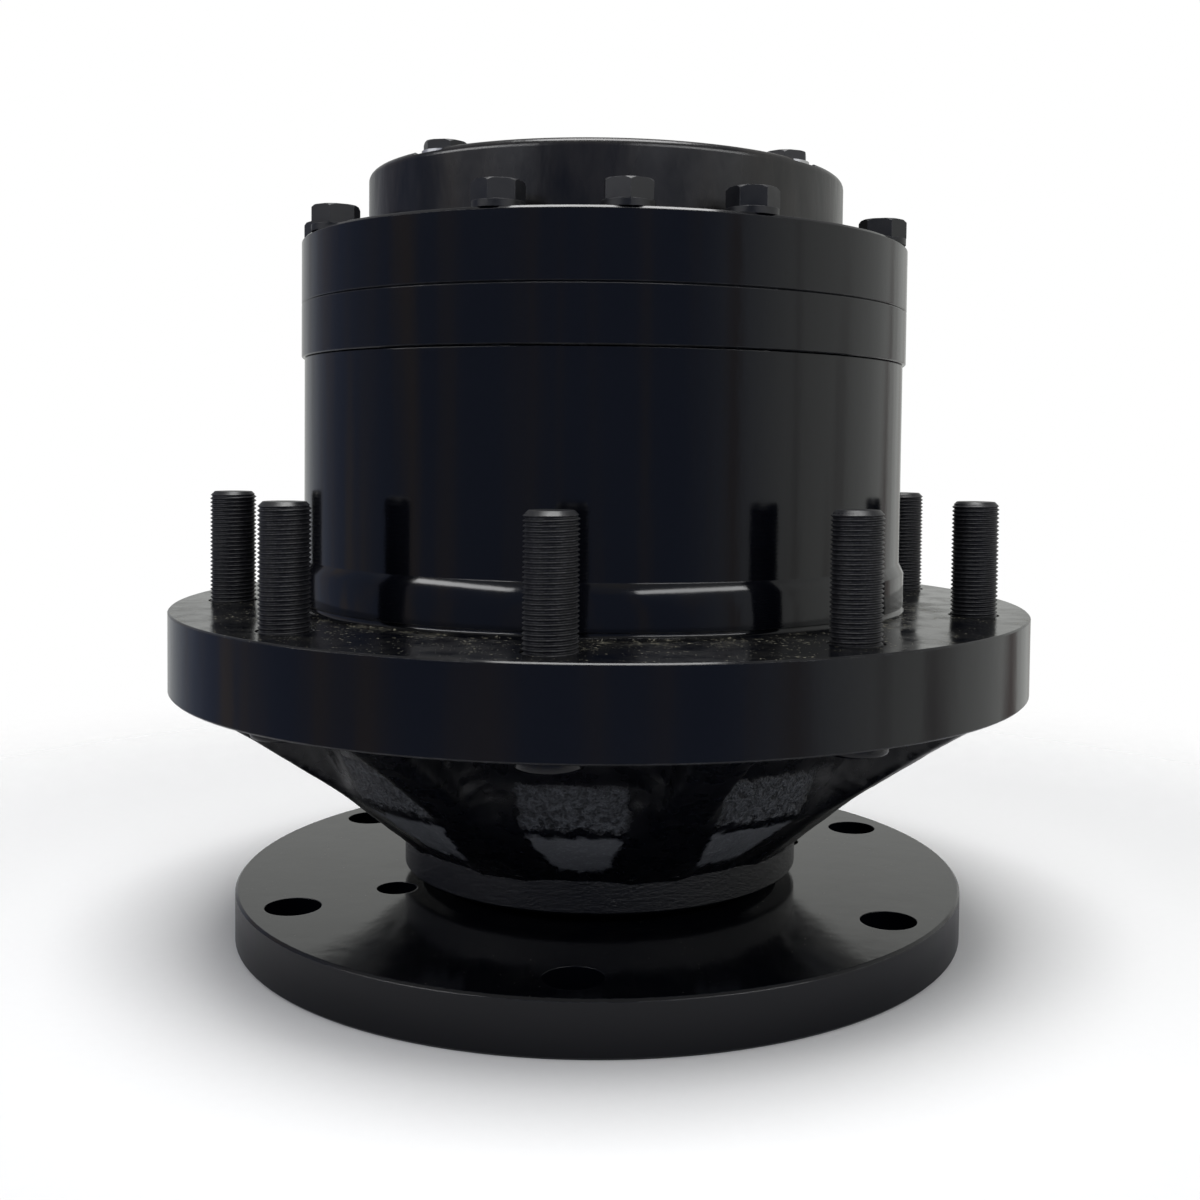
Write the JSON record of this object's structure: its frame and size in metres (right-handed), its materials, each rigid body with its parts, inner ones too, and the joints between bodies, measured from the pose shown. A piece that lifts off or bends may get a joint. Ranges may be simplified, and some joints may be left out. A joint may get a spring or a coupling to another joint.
{
  "type": "torque hub",
  "caption": "Planetary gear reduction wheel drive: bolted spindle base, rotating flanged hub with wheel studs, ring gear band and bolted cover.",
  "frame": {"origin": "centre of the underside of the base flange, on the axis of rotation", "axes": "+Z along the axis of rotation, from the base flange to the cover; the picture was taken from -Y"},
  "size_m": [0.305, 0.305, 0.2773],
  "materials": {
    "black_gloss_paint": "gloss black enamel on machined steel and iron",
    "black_cast_paint": "gloss black enamel over rough cast iron",
    "black_oxide": "black oxide, satin",
    "bright_steel": "ground and oiled",
    "dark_steel": "hardened gear steel",
    "rubber": "nitrile",
    "bronze": "bearing bronze"
  },
  "bodies": {
    "spindle": {"spindle": "black_cast_paint", "inboard_bearing_cone": "bright_steel", "outboard_bearing_cone": "bright_steel", "nut_lock_washer": "bright_steel", "bearing_nut": "black_oxide", "output_carrier": "dark_steel", "output_planet_pins": "bright_steel", "output_thrust_washers": "bronze", "carrier_retaining_ring": "bright_steel"},
    "hub": {"hub_casting": "black_cast_paint", "wheel_studs": "black_oxide", "shaft_seal": "rubber", "inboard_bearing_cup": "bright_steel", "outboard_bearing_cup": "bright_steel", "ring_gear": "black_gloss_paint", "ring_gear_o_rings": "rubber", "cover": "black_gloss_paint", "cover_bolts": "black_oxide", "cover_bolt_washers": "black_oxide", "cover_dowels": "bright_steel", "oil_plugs": "black_oxide", "oil_plug_seals": "bright_steel", "disconnect_cap": "black_gloss_paint", "disconnect_cap_bolts": "black_oxide", "disconnect_o_ring": "rubber", "disconnect_plunger": "bright_steel"},
    "input": {"input_coupling": "dark_steel", "input_shaft": "dark_steel", "coupling_retaining_ring": "bright_steel"},
    "planet_carrier": {"input_carrier": "dark_steel", "input_planet_pins": "bright_steel", "input_pin_rings": "bright_steel", "input_thrust_washers": "bronze", "output_sun_gear": "dark_steel", "sun_thrust_washer": "bronze"},
    "output_gear_1": {"output_planet_1": "dark_steel", "output_needles_1": "bright_steel"},
    "output_gear_2": {"output_planet_2": "dark_steel", "output_needles_2": "bright_steel"},
    "output_gear_3": {"output_planet_3": "dark_steel", "output_needles_3": "bright_steel"},
    "input_gear_1": {"input_planet_1": "dark_steel", "input_needles_1": "bright_steel"},
    "input_gear_2": {"input_planet_2": "dark_steel", "input_needles_2": "bright_steel"},
    "input_gear_3": {"input_planet_3": "dark_steel", "input_needles_3": "bright_steel"},
    "inboard_bearing_rolls": {"inboard_rollers": "bright_steel", "inboard_cage": "bronze"},
    "outboard_bearing_rolls": {"outboard_rollers": "bright_steel", "outboard_cage": "bronze"}
  },
  "joints": [
    {"name": "hub_spin", "type": "hinge", "parent": "spindle", "child": "hub", "pos_m": [0, 0, 0.1158], "axis": [0, 0, 1], "continuous": true},
    {"name": "input_spin", "type": "hinge", "parent": "spindle", "child": "input", "pos_m": [0, 0, 0.05], "axis": [0, 0, 1], "continuous": true},
    {"name": "planet_carrier_spin", "type": "hinge", "parent": "spindle", "child": "planet_carrier", "pos_m": [0, 0, 0.2], "axis": [0, 0, 1], "continuous": true},
    {"name": "output_planet_1_spin", "type": "hinge", "parent": "spindle", "child": "output_gear_1", "pos_m": [0.04677, 0.027, 0.18], "axis": [0, 0, 1], "continuous": true},
    {"name": "output_planet_2_spin", "type": "hinge", "parent": "spindle", "child": "output_gear_2", "pos_m": [-0.04677, 0.027, 0.18], "axis": [0, 0, 1], "continuous": true},
    {"name": "output_planet_3_spin", "type": "hinge", "parent": "spindle", "child": "output_gear_3", "pos_m": [0, -0.054, 0.18], "axis": [0, 0, 1], "continuous": true},
    {"name": "input_planet_1_spin", "type": "hinge", "parent": "planet_carrier", "child": "input_gear_1", "pos_m": [0.04384, 0.02531, 0.225], "axis": [0, 0, 1], "continuous": true},
    {"name": "input_planet_2_spin", "type": "hinge", "parent": "planet_carrier", "child": "input_gear_2", "pos_m": [-0.04384, 0.02531, 0.225], "axis": [0, 0, 1], "continuous": true},
    {"name": "input_planet_3_spin", "type": "hinge", "parent": "planet_carrier", "child": "input_gear_3", "pos_m": [0, -0.05063, 0.225], "axis": [0, 0, 1], "continuous": true},
    {"name": "inboard_cage_spin", "type": "hinge", "parent": "spindle", "child": "inboard_bearing_rolls", "pos_m": [0, 0, 0.05], "axis": [0, 0, 1], "continuous": true},
    {"name": "outboard_cage_spin", "type": "hinge", "parent": "spindle", "child": "outboard_bearing_rolls", "pos_m": [0, 0, 0.13], "axis": [0, 0, 1], "continuous": true}
  ],
  "couplings": [
    {"joint": "input_spin", "follows": "hub_spin", "ratio": -19},
    {"joint": "planet_carrier_spin", "follows": "hub_spin", "ratio": -3},
    {"joint": "output_planet_1_spin", "follows": "hub_spin", "ratio": 3},
    {"joint": "output_planet_2_spin", "follows": "hub_spin", "ratio": 3},
    {"joint": "output_planet_3_spin", "follows": "hub_spin", "ratio": 3},
    {"joint": "input_planet_1_spin", "follows": "hub_spin", "ratio": 10.667},
    {"joint": "input_planet_2_spin", "follows": "hub_spin", "ratio": 10.667},
    {"joint": "input_planet_3_spin", "follows": "hub_spin", "ratio": 10.667},
    {"joint": "inboard_cage_spin", "follows": "hub_spin", "ratio": 0.53256},
    {"joint": "outboard_cage_spin", "follows": "hub_spin", "ratio": 0.53158}
  ]
}
